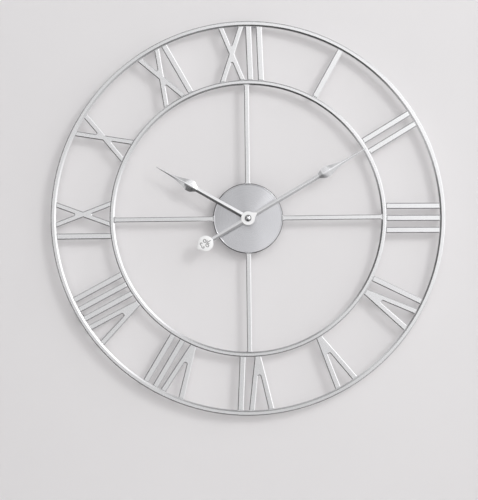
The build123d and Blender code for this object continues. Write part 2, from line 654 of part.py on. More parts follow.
def make_rear_cover():
    """The cover towards the wall: plate, rim, bearings, knob hole, and the open battery bay."""
    bearings = [(HUB, SECONDS_ARBOR_RADIUS), (ROTOR_AT, ARBOR_RADIUS), (INTERMEDIATE_AT, ARBOR_RADIUS),
                (THIRD_AT, ARBOR_RADIUS)]
    with BuildPart() as cover:
        with BuildSketch(dial_plane(CASE_BACK)):
            case_outline()
        extrude(amount=CASE_SPLIT - CASE_BACK)
        chamfer(cover.faces().sort_by(Axis.Y)[-1].outer_wire().edges(), CASE_EDGE)
        with BuildSketch(dial_plane(COVER_INSIDE)):
            case_hollow()
        extrude(amount=CASE_SPLIT - COVER_INSIDE, mode=Mode.SUBTRACT)
        with BuildSketch(dial_plane(COVER_INSIDE)):
            with Locations((0, BAY_TOP + BAY_WALL / 2)):
                Rectangle(2 * BAY_HALF_LENGTH, BAY_WALL)
        extrude(amount=FRONT_INSIDE - 0.3 - COVER_INSIDE)
        for centre, radius in bearings:
            with BuildSketch(arbor_plane(COVER_INSIDE, centre)):
                Circle(BEARING_RADIUS)
            extrude(amount=BEARING_REAR_FRONT - COVER_INSIDE)
            with BuildSketch(arbor_plane(ARBOR_REAR - PIVOT_PLAY, centre)):
                Circle(radius + PIVOT_CLEARANCE)
            extrude(amount=BEARING_REAR_FRONT + PIVOT_PLAY - ARBOR_REAR, mode=Mode.SUBTRACT)
        with BuildSketch(arbor_plane(CASE_BACK, KNOB_AT)):
            Circle(KNOB_STEM_RADIUS + PIVOT_CLEARANCE)
        extrude(amount=CASE_WALL, mode=Mode.SUBTRACT)
        with BuildSketch(dial_plane(CASE_BACK)):
            with Locations((0, (BAY_TOP + BAY_BOTTOM) / 2)):
                Rectangle(2 * BAY_HALF_LENGTH, BAY_TOP - BAY_BOTTOM)
        extrude(amount=CASE_SPLIT - CASE_BACK, mode=Mode.SUBTRACT)
    return cover.part


def make_hex_nut():
    with BuildPart() as nut:
        with BuildSketch(dial_plane(NUT_BACK)):
            RegularPolygon(NUT_FLATS / 2, 6, major_radius=False)
            Circle(BUSH_THREAD_RADIUS, mode=Mode.SUBTRACT)
        extrude(amount=NUT_FRONT - NUT_BACK)
    return nut.part


def make_stator():
    """The soft-iron stamping round the rotor, with two legs up to the coil's core."""
    x, z = ROTOR_AT
    step = z + STATOR_STEP
    foot = z - STATOR_LOOP_BOTTOM
    legs = [(COIL_LEFT, LEG_TOP), (COIL_LEFT, step), (x - STATOR_LOOP_HALF, step),
            (x - STATOR_FOOT_HALF, foot), (x + STATOR_FOOT_HALF, foot), (x + STATOR_LOOP_HALF, step),
            (COIL_RIGHT, step), (COIL_RIGHT, LEG_TOP), (COIL_RIGHT - LEG_WIDTH, LEG_TOP),
            (COIL_RIGHT - LEG_WIDTH, z + STATOR_LOOP_TOP), (COIL_LEFT + LEG_WIDTH, z + STATOR_LOOP_TOP),
            (COIL_LEFT + LEG_WIDTH, LEG_TOP)]
    with BuildPart() as stator:
        with BuildSketch(dial_plane(STATOR_REAR)):
            with BuildLine():
                Polyline(*legs, close=True)
            make_face()
            with Locations(ROTOR_AT):
                Circle(STATOR_BORE, mode=Mode.SUBTRACT)
        extrude(amount=STATOR_SHEET)
    return stator.part


def coil_plane(x):
    """A plane across the coil's axis, which runs along X."""
    return Plane(origin=(x, -COIL_DEPTH, COIL_HEIGHT), x_dir=(0, 0, 1), z_dir=(1, 0, 0))


def make_coil_core():
    with BuildPart() as core:
        with BuildSketch(coil_plane(COIL_LEFT)):
            Rectangle(2 * CORE_HALF_HEIGHT, STATOR_SHEET)
        extrude(amount=COIL_RIGHT - COIL_LEFT)
    return core.part


def make_coil_bobbin():
    left, right = COIL_LEFT + LEG_WIDTH + 0.3, COIL_RIGHT - LEG_WIDTH - 0.3
    with BuildPart() as bobbin:
        with BuildSketch(coil_plane(left)):
            Rectangle(2 * BOBBIN_HALF, 2 * BOBBIN_HALF)
        extrude(amount=right - left)
        for start in (left, right - BOBBIN_FLANGE):
            with BuildSketch(coil_plane(start)):
                Rectangle(2 * FLANGE_HALF, 2 * FLANGE_HALF)
            extrude(amount=BOBBIN_FLANGE)
        with BuildSketch(coil_plane(left)):
            Rectangle(2 * CORE_HALF_HEIGHT, STATOR_SHEET)
        extrude(amount=right - left, mode=Mode.SUBTRACT)
    return bobbin.part


def make_coil_winding():
    left = COIL_LEFT + LEG_WIDTH + 0.3 + BOBBIN_FLANGE
    right = COIL_RIGHT - LEG_WIDTH - 0.3 - BOBBIN_FLANGE
    with BuildPart() as winding:
        with BuildSketch(coil_plane(left)):
            RectangleRounded(2 * WINDING_HALF, 2 * WINDING_HALF, 0.9)
            Rectangle(2 * BOBBIN_HALF, 2 * BOBBIN_HALF, mode=Mode.SUBTRACT)
        extrude(amount=right - left)
    return winding.part


def make_circuit_board():
    with BuildPart() as board:
        with BuildSketch(dial_plane(BOARD_REAR)):
            with Locations((0, (BOARD_TOP + BOARD_BOTTOM) / 2)):
                Rectangle(2 * CONTACT_INSIDE, BOARD_TOP - BOARD_BOTTOM)
        extrude(amount=BOARD_SHEET)
    return board.part


def make_quartz_crystal():
    """The crystal's can, lying along X behind the board."""
    with BuildPart() as crystal:
        with BuildSketch(Plane(origin=(CRYSTAL_X, -BOARD_REAR + CRYSTAL_RADIUS, CRYSTAL_Z), x_dir=(0, 0, 1),
                               z_dir=(1, 0, 0))):
            Circle(CRYSTAL_RADIUS)
        extrude(amount=CRYSTAL_LENGTH)
        chamfer(crystal.edges().filter_by(GeomType.CIRCLE), CRYSTAL_EDGE)
    return crystal.part


def make_timer_chip():
    """The dab of resin over the timing chip."""
    with BuildPart() as chip:
        with BuildSketch(arbor_plane(BOARD_REAR - CHIP_HEIGHT, (CHIP_X, CRYSTAL_Z))):
            Circle(CHIP_RADIUS)
        extrude(amount=CHIP_HEIGHT)
        chamfer(chip.faces().sort_by(Axis.Y)[-1].edges(), CHIP_EDGE)
    return chip.part


def battery_plane(x):
    """A plane across the cell's axis, which runs along X."""
    return Plane(origin=(x, -BATTERY_DEPTH, BATTERY_HEIGHT), x_dir=(0, 0, 1), z_dir=(1, 0, 0))


def make_contact(side):
    """A strip from the cell's end up to the board; the negative one (side -1) is bowed as a spring."""
    inside, outside = side * CONTACT_INSIDE, side * (CONTACT_INSIDE + CONTACT_SHEET)
    with BuildPart() as contact:
        with BuildSketch(Plane.XY.offset(CONTACT_FOOT)):
            with Locations(((inside + outside) / 2, -(CONTACT_REAR + CONTACT_FRONT) / 2)):
                Rectangle(CONTACT_SHEET, CONTACT_FRONT - CONTACT_REAR)
        extrude(amount=CONTACT_TOP - CONTACT_FOOT)
        if side > 0:
            tip = BATTERY_LENGTH / 2 + CONTACT_GAP
            with BuildSketch(battery_plane(tip)):
                Circle(CONTACT_PAD_RADIUS)
            extrude(amount=inside - tip)
        if side < 0:
            bow = BATTERY_LENGTH / 2 + CONTACT_GAP
            low, high = BATTERY_HEIGHT - SPRING_HALF, BATTERY_HEIGHT + SPRING_HALF
            with BuildSketch(Plane.XZ.offset(CONTACT_REAR)):
                with BuildLine():
                    outer = ThreePointArc((inside, low), (-bow, BATTERY_HEIGHT), (inside, high))
                    behind = (-bow - CONTACT_SHEET, BATTERY_HEIGHT)
                    inner = ThreePointArc((inside, high - SPRING_ROOT), behind, (inside, low + SPRING_ROOT))
                    Line(outer @ 1, inner @ 0)
                    Line(inner @ 1, outer @ 0)
                make_face()
            extrude(amount=CONTACT_FRONT - CONTACT_REAR)
    return contact.part


def make_battery():
    """A round AA cell lying along X, its positive nub towards +X."""
    body = BATTERY_LENGTH - BATTERY_NUB
    start = battery_plane(-BATTERY_LENGTH / 2)
    with BuildPart() as battery:
        with BuildSketch(start):
            Circle(BATTERY_RADIUS)
        extrude(amount=body)
        chamfer(battery.edges().filter_by(GeomType.CIRCLE), BATTERY_EDGE)
        with BuildSketch(start.offset(body)):
            Circle(BATTERY_NUB_RADIUS)
        extrude(amount=BATTERY_NUB)
    return battery.part


# ---------------------------------------------------------------- movement: wheels
# Each gear's phase sets a tooth of one against a gap of the other on the line between their arbors.
seconds_phase = radians(TO_INTERMEDIATE)
intermediate_pinion_phase = meshed_phase(seconds_phase, SECONDS_TEETH, INTERMEDIATE_PINION, TO_INTERMEDIATE)
intermediate_phase = radians(TO_ROTOR)
rotor_phase = meshed_phase(intermediate_phase, INTERMEDIATE_TEETH, ROTOR_PINION, TO_ROTOR)
seconds_pinion_phase = radians(TO_THIRD)
third_phase = meshed_phase(seconds_pinion_phase, SECONDS_PINION, THIRD_TEETH, TO_THIRD)
centre_phase = radians(TO_THIRD)
third_pinion_phase = meshed_phase(centre_phase, CENTRE_TEETH, THIRD_PINION, TO_THIRD)
cannon_phase = radians(TO_MINUTE_WHEEL)
minute_phase = meshed_phase(cannon_phase, CANNON_TEETH, MINUTE_WHEEL_TEETH, TO_MINUTE_WHEEL)
hour_phase = radians(TO_MINUTE_WHEEL)
minute_pinion_phase = meshed_phase(hour_phase, HOUR_TEETH, MINUTE_PINION, TO_MINUTE_WHEEL)
knob_phase = meshed_phase(minute_phase, MINUTE_WHEEL_TEETH, KNOB_TEETH, TO_KNOB)


def make_rotor_pinion():
    return geared_arbor(ROTOR_AT, [(ROTOR_PINION, ROTOR_MODULE, rotor_phase, ROTOR_PINION_SPAN)],
                        [(ARBOR_RADIUS, (ARBOR_REAR, ARBOR_FRONT)), (ROTOR_COLLAR_RADIUS, ROTOR_COLLAR_SPAN)])


def make_intermediate_wheel():
    return geared_arbor(INTERMEDIATE_AT,
                        [(INTERMEDIATE_TEETH, ROTOR_MODULE, intermediate_phase, INTERMEDIATE_SPAN),
                         (INTERMEDIATE_PINION, SECONDS_MODULE, intermediate_pinion_phase,
                          INTERMEDIATE_PINION_SPAN)],
                        [(ARBOR_RADIUS, (ARBOR_REAR, ARBOR_FRONT))])


def make_seconds_wheel():
    return geared_arbor(HUB,
                        [(SECONDS_TEETH, SECONDS_MODULE, seconds_phase, SECONDS_SPAN),
                         (SECONDS_PINION, THIRD_MODULE, seconds_pinion_phase, SECONDS_PINION_SPAN)],
                        [(SECONDS_ARBOR_RADIUS, (ARBOR_REAR, SECONDS_ARBOR_FRONT))])


def make_third_wheel():
    return geared_arbor(THIRD_AT,
                        [(THIRD_TEETH, THIRD_MODULE, third_phase, THIRD_SPAN),
                         (THIRD_PINION, CENTRE_MODULE, third_pinion_phase, THIRD_PINION_SPAN)],
                        [(ARBOR_RADIUS, (ARBOR_REAR, ARBOR_FRONT))])


def make_centre_wheel():
    bore = CANNON_RADIUS + PIVOT_CLEARANCE
    return geared_arbor(HUB, [(CENTRE_TEETH, CENTRE_MODULE, centre_phase, CENTRE_SPAN)],
                        [(CENTRE_HUB_RADIUS, CENTRE_HUB_SPAN)], bore, CENTRE_HUB_SPAN)


def make_minute_arbor():
    """The cannon pinion: the hollow arbor that carries the minute hand."""
    return geared_arbor(HUB, [(CANNON_TEETH, CANNON_MODULE, cannon_phase, CANNON_PINION_SPAN)],
                        [(CANNON_FLANGE_RADIUS, (CANNON_REAR, CANNON_REAR + CANNON_FLANGE)),
                         (CANNON_RADIUS, (CANNON_REAR, CANNON_FRONT)),
                         (THREAD_TIP_RADIUS, (CANNON_FRONT, THREAD_TIP_FRONT))],
                        CANNON_BORE, (CANNON_REAR, THREAD_TIP_FRONT))


def make_minute_wheel():
    rear, front = MINUTE_WHEEL_SPAN[0], MINUTE_PINION_SPAN[1]
    return geared_arbor(MINUTE_WHEEL_AT,
                        [(MINUTE_WHEEL_TEETH, CANNON_MODULE, minute_phase, MINUTE_WHEEL_SPAN),
                         (MINUTE_PINION, HOUR_MODULE, minute_pinion_phase, MINUTE_PINION_SPAN)],
                        [], POST_RADIUS + PIVOT_CLEARANCE, (rear, front))


def make_hour_wheel():
    tube = (HOUR_WHEEL_SPAN[0], HOUR_TUBE_FRONT)
    return geared_arbor(HUB, [(HOUR_TEETH, HOUR_MODULE, hour_phase, HOUR_WHEEL_SPAN)],
                        [(HOUR_TUBE_RADIUS, tube)], HOUR_TUBE_BORE, tube)


def make_setting_knob():
    """The knurled knob on the back, its stem, and the pinion that turns the minute wheel."""
    with BuildPart() as knob:
        with BuildSketch(arbor_plane(KNOB_REAR, KNOB_AT)):
            Circle(KNOB_RADIUS)
            with PolarLocations(KNOB_RADIUS + KNOB_FLUTE_RADIUS / 3, KNOB_FLUTES):
                Circle(KNOB_FLUTE_RADIUS, mode=Mode.SUBTRACT)
        extrude(amount=KNOB_FRONT - KNOB_REAR)
        with BuildSketch(arbor_plane(KNOB_FRONT, KNOB_AT)):
            Circle(KNOB_STEM_RADIUS)
        extrude(amount=ARBOR_FRONT - KNOB_FRONT)
        with BuildSketch(arbor_plane(KNOB_PINION_SPAN[0], KNOB_AT)):
            with BuildLine():
                Polyline(*gear_points(KNOB_TEETH, CANNON_MODULE, knob_phase), close=True)
            make_face()
        extrude(amount=KNOB_PINION_SPAN[1] - KNOB_PINION_SPAN[0])
    return knob.part


# ---------------------------------------------------------------- every piece, written to its own file
save(make_hoop(NUMERAL_OUTSIDE, OUTER_RADIUS, FRAME_BACK), "outer_ring")
save(make_hoop(INNER_RADIUS, NUMERAL_INSIDE, INNER_HOOP_BACK), "inner_ring")
for hour in NUMERALS:
    save(make_numeral(hour), f"numeral_{hour:02d}")
for hour in (12, 3, 6, 9):
    save(make_spoke(30 * hour), f"spoke_{hour:02d}")
save(make_disc(), "centre_disc")

save(make_hanger(), "hanger_bracket")
for hour, dial_deg in FOOT_ANGLES.items():
    centre = foot_centre(dial_deg)
    save(stepped_round(centre, [(FOOT_RADIUS, (BUMPER_DEPTH, FRAME_BACK))]), f"standoff_post_{hour:02d}")
    save(stepped_round(centre, [(BUMPER_RADIUS, (0.0, BUMPER_DEPTH))]), f"wall_bumper_{hour:02d}")

save(make_hand(HOUR_DIAL_ANGLE, HOUR_HAND_BACK, HOUR_BLADE, HOUR_BUSH_RADIUS), "hour_hand")
save(stepped_round(HUB, [(HOUR_BUSH_RADIUS, HOUR_BUSH_SPAN)], HOUR_TUBE_RADIUS), "hour_hand_bush")
save(make_hand(MINUTE_DIAL_ANGLE, MINUTE_HAND_BACK, MINUTE_BLADE, MINUTE_BUSH_RADIUS, TAIL), "minute_hand")
save(stepped_round(HUB, [(MINUTE_BUSH_RADIUS, (MINUTE_BUSH_REAR, BOSS_PLATE_BACK))], CANNON_RADIUS),
     "minute_hand_bush")
save(make_boss_plate(), "boss_plate")
save(make_medallion(MINUTE_HAND_BACK + HAND_EDGE), "tail_medallion")
save(make_rivet(MINUTE_HAND_BACK), "medallion_rivet")
save(make_cap_nut(), "cap_nut")

save(make_front_case(), "movement_front_case")
save(make_rear_cover(), "movement_rear_cover")
save(stepped_round(HUB, [(BUSH_FLANGE_RADIUS, (BUSH_REAR, FRONT_INSIDE)),
                         (BUSH_THREAD_RADIUS, (BUSH_REAR, BUSH_FRONT))], BUSH_BORE_RADIUS), "threaded_bush")
save(stepped_round(HUB, [(GASKET_RADIUS, (CASE_FRONT, DISC_BACK))], GASKET_BORE_RADIUS), "rubber_gasket")
save(stepped_round(HUB, [(WASHER_RADIUS, (FRAME_FRONT, NUT_BACK))], WASHER_BORE_RADIUS), "washer")
save(make_hex_nut(), "hex_nut")
save(make_stator(), "stator")
save(make_coil_core(), "coil_core")
save(make_coil_bobbin(), "coil_bobbin")
save(make_coil_winding(), "coil_winding")
save(make_circuit_board(), "circuit_board")
save(make_quartz_crystal(), "quartz_crystal")
save(make_timer_chip(), "timer_chip")
save(make_contact(1), "contact_positive")
save(make_contact(-1), "contact_negative")
save(make_battery(), "battery")

save(stepped_round(ROTOR_AT, [(MAGNET_RADIUS, MAGNET_SPAN)], ARBOR_RADIUS), "rotor_magnet")
save(make_rotor_pinion(), "rotor_pinion")
save(make_intermediate_wheel(), "intermediate_wheel")
save(make_seconds_wheel(), "seconds_wheel")
save(make_third_wheel(), "third_wheel")
save(make_centre_wheel(), "centre_wheel")
save(make_minute_arbor(), "minute_arbor")
save(make_minute_wheel(), "minute_wheel")
save(make_hour_wheel(), "hour_wheel")
save(make_setting_knob(), "setting_knob")
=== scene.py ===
import json
import math
import bpy
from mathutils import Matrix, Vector


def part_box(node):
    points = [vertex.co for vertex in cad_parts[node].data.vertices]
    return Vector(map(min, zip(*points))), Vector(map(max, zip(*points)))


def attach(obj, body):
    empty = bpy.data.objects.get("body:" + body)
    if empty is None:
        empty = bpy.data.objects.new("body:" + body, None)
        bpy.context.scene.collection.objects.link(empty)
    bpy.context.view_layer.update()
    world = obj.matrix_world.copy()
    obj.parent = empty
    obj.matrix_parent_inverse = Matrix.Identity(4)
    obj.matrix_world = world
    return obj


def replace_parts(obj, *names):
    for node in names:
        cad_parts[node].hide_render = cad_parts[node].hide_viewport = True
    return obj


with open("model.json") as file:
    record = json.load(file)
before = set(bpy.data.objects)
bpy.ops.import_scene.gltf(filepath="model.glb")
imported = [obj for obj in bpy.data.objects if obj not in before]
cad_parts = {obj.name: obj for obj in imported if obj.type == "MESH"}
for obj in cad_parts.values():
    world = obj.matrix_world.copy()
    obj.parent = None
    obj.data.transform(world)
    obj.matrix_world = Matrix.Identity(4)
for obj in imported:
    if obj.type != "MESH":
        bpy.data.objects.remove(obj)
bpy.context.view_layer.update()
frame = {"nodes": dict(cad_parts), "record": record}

# Looks of the skeleton wall clock. Metres, in the CAD frame: +Z up, +X the viewer's right; the dial faces -Y
# and the wall is the plane y = 0.

NODES = frame["nodes"]
MM = 0.001


# ---------------------------------------------------------------- materials: building blocks
def new_material(name):
    """An empty node material: (its tree, its Principled shader)."""
    material = bpy.data.materials.new(name)
    material.use_nodes = True
    tree = material.node_tree
    return material, tree, tree.nodes["Principled BSDF"]


def noise(tree, scale, detail=2.0):
    """Noise over the object's own coordinates, in cells per metre."""
    where = tree.nodes.new("ShaderNodeTexCoord")
    texture = tree.nodes.new("ShaderNodeTexNoise")
    texture.inputs["Scale"].default_value = scale
    texture.inputs["Detail"].default_value = detail
    tree.links.new(where.outputs["Object"], texture.inputs["Vector"])
    return texture.outputs["Fac"]


def remap(tree, value, low, high, from_low=0.3, from_high=0.7):
    """A value stretched to run from low to high."""
    node = tree.nodes.new("ShaderNodeMapRange")
    node.inputs["From Min"].default_value = from_low
    node.inputs["From Max"].default_value = from_high
    node.inputs["To Min"].default_value = low
    node.inputs["To Max"].default_value = high
    tree.links.new(value, node.inputs["Value"])
    return node.outputs["Result"]


def ramp(tree, value, stops):
    """Colours along a value: stops are (position, (r, g, b))."""
    node = tree.nodes.new("ShaderNodeValToRGB")
    elements = node.color_ramp.elements
    elements.remove(elements[1])
    elements[0].position = stops[0][0]
    elements[0].color = (*stops[0][1], 1)
    for position, colour in stops[1:]:
        elements.new(position).color = (*colour, 1)
    tree.links.new(value, node.inputs["Fac"])
    return node.outputs["Color"]


def bump(tree, shader, height, strength, distance):
    """Raise the surface by a height map, on top of any bump it has already."""
    node = tree.nodes.new("ShaderNodeBump")
    node.inputs["Strength"].default_value = strength
    node.inputs["Distance"].default_value = distance
    tree.links.new(height, node.inputs["Height"])
    if shader.inputs["Normal"].is_linked:
        tree.links.new(shader.inputs["Normal"].links[0].from_socket, node.inputs["Normal"])
    tree.links.new(node.outputs["Normal"], shader.inputs["Normal"])


def grey(value, blue=0.0):
    return (value, value, value + blue)


def vector_math(tree, operation, *values):
    """A vector operation on outputs or fixed vectors."""
    node = tree.nodes.new("ShaderNodeVectorMath")
    node.operation = operation
    for socket, value in zip(node.inputs, values):
        if isinstance(value, tuple):
            socket.default_value = value
        else:
            tree.links.new(value, socket)
    return node.outputs["Value" if operation in ("LENGTH", "DOT_PRODUCT") else "Vector"]


def from_axis(tree):
    """The vector from the hand axis to the shaded point, square to the axis, and its length in metres."""
    where = tree.nodes.new("ShaderNodeTexCoord")
    spoke = vector_math(tree, "MULTIPLY", where.outputs["Object"], (1, 0, 1))
    return spoke, vector_math(tree, "LENGTH", spoke)


CLOUD_SCALE, GRAIN_SCALE, RING_SCALE = 9.0, 900.0, 1800.0 # cells per metre
CLOUD_SHARE, GRAIN_SHARE = 0.4, 0.6
GLOSS_LESS, GLOSS_MORE = 0.03, 0.04
SPUN_METAL = 0.95
COAT_ROUGHNESS = 0.25
PEEL_DEPTH = 0.1 * MM
RING_STRENGTH, RING_DEPTH = 0.05, 0.05 * MM


def painted(name, dark, light, metallic, rough, peel=0.03, coat=0.0):
    """Sprayed finish: a faint cloud of tone, fine grain in colour and gloss, and a slight orange peel."""
    material, tree, shader = new_material(name)
    cloud = noise(tree, CLOUD_SCALE)
    fine = noise(tree, GRAIN_SCALE)
    both = tree.nodes.new("ShaderNodeMath")
    both.operation = "ADD"
    tree.links.new(remap(tree, cloud, 0.0, CLOUD_SHARE), both.inputs[0])
    tree.links.new(remap(tree, fine, 0.0, GRAIN_SHARE), both.inputs[1])
    colour = ramp(tree, both.outputs[0], [(0.0, dark), (1.0, light)])
    tree.links.new(colour, shader.inputs["Base Color"])
    shader.inputs["Metallic"].default_value = metallic
    tree.links.new(remap(tree, fine, rough - GLOSS_LESS, rough + GLOSS_MORE), shader.inputs["Roughness"])
    shader.inputs["Coat Weight"].default_value = coat
    shader.inputs["Coat Roughness"].default_value = COAT_ROUGHNESS
    bump(tree, shader, fine, peel, PEEL_DEPTH)
    return material


def spun(name, dark, light, rough, stretch, lean=(0, 0, 0), rim=None):
    """Metal brushed in circles round the hand axis: fine rings, and reflections drawn out across them.

    lean tilts the shading outwards by so much per metre; rim lists (radius in metres, painted shade) near the
    edge.
    """
    material, tree, shader = new_material(name)
    spoke, radius = from_axis(tree)
    across = tree.nodes.new("ShaderNodeCombineXYZ")
    tree.links.new(radius, across.inputs["X"])
    rings = tree.nodes.new("ShaderNodeTexNoise")
    rings.inputs["Scale"].default_value = RING_SCALE
    rings.inputs["Detail"].default_value = 3.0
    tree.links.new(across.outputs["Vector"], rings.inputs["Vector"])
    colour = ramp(tree, rings.outputs["Fac"], [(0.25, dark), (0.75, light)])
    # painted highlight and painted shade by radius, multiplied into the disc's colour
    if rim:
        shade = place_on(tree, radius, rim[0][0], rim[-1][0], [(at, grey(tone)) for at, tone in rim])
        colour = vector_math(tree, "MULTIPLY", colour, shade)
    tree.links.new(colour, shader.inputs["Base Color"])
    shader.inputs["Metallic"].default_value = SPUN_METAL
    shader.inputs["Anisotropic"].default_value = stretch
    gloss = remap(tree, rings.outputs["Fac"], rough - GLOSS_LESS, rough + GLOSS_LESS)
    tree.links.new(gloss, shader.inputs["Roughness"])
    outward = vector_math(tree, "NORMALIZE", spoke)
    tree.links.new(outward, shader.inputs["Tangent"])
    surface = tree.nodes.new("ShaderNodeNewGeometry")
    tilt = vector_math(tree, "MULTIPLY", spoke, lean)
    leaning = vector_math(tree, "NORMALIZE", vector_math(tree, "ADD", surface.outputs["Normal"], tilt))
    node = tree.nodes.new("ShaderNodeBump")
    node.inputs["Strength"].default_value = RING_STRENGTH
    node.inputs["Distance"].default_value = RING_DEPTH
    tree.links.new(rings.outputs["Fac"], node.inputs["Height"])
    tree.links.new(leaning, node.inputs["Normal"])
    tree.links.new(node.outputs["Normal"], shader.inputs["Normal"])
    return material


def ribbed(material, axis, pitch, depth):
    """Add even ribs across an axis, such as a thread or the turns of a winding."""
    tree = material.node_tree
    where = tree.nodes.new("ShaderNodeTexCoord")
    wave = tree.nodes.new("ShaderNodeTexWave")
    wave.bands_direction = axis
    wave.inputs["Scale"].default_value = math.pi / 10 / pitch
    tree.links.new(where.outputs["Object"], wave.inputs["Vector"])
    bump(tree, tree.nodes["Principled BSDF"], wave.outputs["Fac"], 1.0, depth)
    return material


def place_on(tree, value, low, high, stops, sharp=False):
    """Colours along a value between two ends: stops are (value, (r, g, b))."""
    colour = ramp(tree, remap(tree, value, 0.0, 1.0, low, high),
                  [((at - low) / (high - low), shade) for at, shade in stops])
    if sharp:
        colour.node.color_ramp.interpolation = "CONSTANT"
    return colour


# (radius, shade) of the disc's rim: a painted highlight on its bead and painted shade at its edge
DISC_RIM_PAINTED_LIGHT = [(0.0636, 1.0), (0.0644, 1.25), (0.0656, 1.3), (0.0662, 0.3), (0.0675, 0.2)]
DISC_LEAN = (1.85, 0, -0.6)

silver = painted("silver_paint", grey(0.86, 0.004), grey(0.92, 0.006), 0.92, 0.21)
hoop_silver = spun("hoop_silver", grey(0.86, 0.004), grey(0.92, 0.006), 0.22, 0.6)
disc_silver = spun("disc_spun", grey(0.66, 0.02), grey(0.74, 0.02), 0.28, 0.8, DISC_LEAN, DISC_RIM_PAINTED_LIGHT)
hand_silver = painted("hand_aluminium", grey(0.88, 0.01), grey(0.94, 0.01), 0.95, 0.2)
medallion_white = painted("medallion_enamel", grey(0.92), grey(0.97), 0.0, 0.3, coat=0.4)

CAP_RADIUS = 6.0 * MM
# (radius, shade) of the cap: bright dome, a painted dark reflection in a ring round its foot
CAP_PAINTED_REFLECTION = [(0.0, grey(1.0)), (4.4 * MM, grey(1.0)), (5.0 * MM, grey(0.1))]


def plated_dome():
    """Bright chrome, with a painted dark reflection in a ring round its foot."""
    material = painted("chrome_plate", grey(0.88, 0.01), grey(0.93, 0.01), 1.0, 0.05, peel=0.005)
    tree = material.node_tree
    shader = tree.nodes["Principled BSDF"]
    plating = shader.inputs["Base Color"].links[0].from_socket
    _, radius = from_axis(tree)
    # painted dark reflection, multiplied into the plating round the dome's foot
    painted_foot_reflection = place_on(tree, radius, 0.0, CAP_RADIUS, CAP_PAINTED_REFLECTION)
    tree.links.new(vector_math(tree, "MULTIPLY", plating, painted_foot_reflection), shader.inputs["Base Color"])
    return material


chrome = plated_dome()

GROOVE_SHADE_TONE = (0.07, 0.068, 0.066)
GROOVE_SHADE_START, GROOVE_SHADE_FULL = 0.2, 0.8 # parts of a groove's depth where the painted shade begins and covers


def enamelled_relief():
    """The medallion's white enamel, with painted shade darkening its grooves."""
    material = painted("relief_enamel", grey(0.92), grey(0.97), 0.0, 0.3, coat=0.4)
    tree = material.node_tree
    shader = tree.nodes["Principled BSDF"]
    enamel = shader.inputs["Base Color"].links[0].from_socket
    # painted shade in the relief's grooves, read from a point attribute
    groove = tree.nodes.new("ShaderNodeAttribute")
    groove.attribute_name = "groove_shade"
    mix = tree.nodes.new("ShaderNodeMix")
    mix.data_type = "RGBA"
    cover = remap(tree, groove.outputs["Fac"], 0.0, 1.0, GROOVE_SHADE_START, GROOVE_SHADE_FULL)
    tree.links.new(cover, mix.inputs["Factor"])
    tree.links.new(enamel, mix.inputs["A"])
    mix.inputs["B"].default_value = (*GROOVE_SHADE_TONE, 1)
    tree.links.new(mix.outputs["Result"], shader.inputs["Base Color"])
    return material


relief_white = enamelled_relief()
BRASS_TONES = (0.66, 0.48, 0.22), (0.80, 0.62, 0.32)
COPPER_TONES = (0.45, 0.17, 0.07), (0.68, 0.30, 0.14)
WIRE_PITCH, WIRE_RISE = 0.35 * MM, 0.08 * MM
THREAD_PITCH, THREAD_DEPTH = 0.75 * MM, 0.4 * MM
brass = painted("brass_turned", *BRASS_TONES, 1.0, 0.3)
zinc = painted("zinc_plate", grey(0.5, 0.02), grey(0.66, 0.03), 0.95, 0.38)
nickel = painted("nickel_strip", grey(0.6), grey(0.7), 0.95, 0.3)
iron = painted("soft_iron_sheet", grey(0.3), grey(0.4), 0.9, 0.45)
magnet = painted("sintered_magnet", grey(0.10), grey(0.15), 0.6, 0.55)
rubber = painted("black_rubber", grey(0.02), grey(0.035), 0.0, 0.8, peel=0.3)
plastic = painted("black_moulding", grey(0.018), grey(0.028), 0.0, 0.55, peel=0.25)
knob_grey = painted("knob_moulding", grey(0.2), grey(0.25), 0.0, 0.5, peel=0.25)
acetal = painted("natural_acetal", (0.70, 0.69, 0.64), (0.80, 0.79, 0.74), 0.0, 0.45)
board = painted("solder_resist", (0.01, 0.09, 0.03), (0.02, 0.16, 0.06), 0.0, 0.3)
resin = painted("chip_resin", grey(0.012), grey(0.02), 0.0, 0.25)
copper = ribbed(painted("copper_winding", *COPPER_TONES, 0.9, 0.3), "X", WIRE_PITCH, WIRE_RISE)
threaded = ribbed(painted("threaded_brass", *BRASS_TONES, 1.0, 0.3), "Y", THREAD_PITCH, THREAD_DEPTH)

CELL_RIM = 0.8 * MM               # bare metal at the cell's negative end
CELL_BAND, CELL_CROWN = 16 * MM, 2.2 * MM # copper band and bare metal, both from the positive end
CELL_METAL, CELL_BLACK, CELL_COPPER = grey(0.62), grey(0.03), (0.62, 0.28, 0.12)


def banded_cell():
    """The cell's printed sleeve: black with a copper band at the positive end, bare metal at both ends."""
    low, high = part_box("battery")
    material = painted("cell_sleeve", grey(0.02), grey(0.04), 0.6, 0.3)
    tree = material.node_tree
    shader = tree.nodes["Principled BSDF"]
    where = tree.nodes.new("ShaderNodeTexCoord")
    apart = tree.nodes.new("ShaderNodeSeparateXYZ")
    tree.links.new(where.outputs["Object"], apart.inputs["Vector"])
    bands = [(low.x, CELL_METAL), (low.x + CELL_RIM, CELL_BLACK), (high.x - CELL_BAND, CELL_COPPER),
             (high.x - CELL_CROWN, CELL_METAL)]
    colour = place_on(tree, apart.outputs["X"], low.x, high.x, bands, sharp=True)
    tree.links.new(colour, shader.inputs["Base Color"])
    return material


sleeve = banded_cell()

FINISH = {"frame_metal": silver, "hand_metal": hand_silver, "medallion_paint": medallion_white,
          "cap_chrome": chrome, "brass": brass, "zinc_steel": zinc, "nickel_steel": nickel, "soft_iron": iron,
          "magnet": magnet, "rubber": rubber, "case_plastic": plastic, "gear_plastic": acetal, "board": board,
          "chip_resin": resin, "copper": copper, "cell_sleeve": sleeve}
OWN_FINISH = {"centre_disc": disc_silver, "outer_ring": hoop_silver, "inner_ring": hoop_silver,
              "threaded_bush": threaded, "setting_knob": knob_grey}


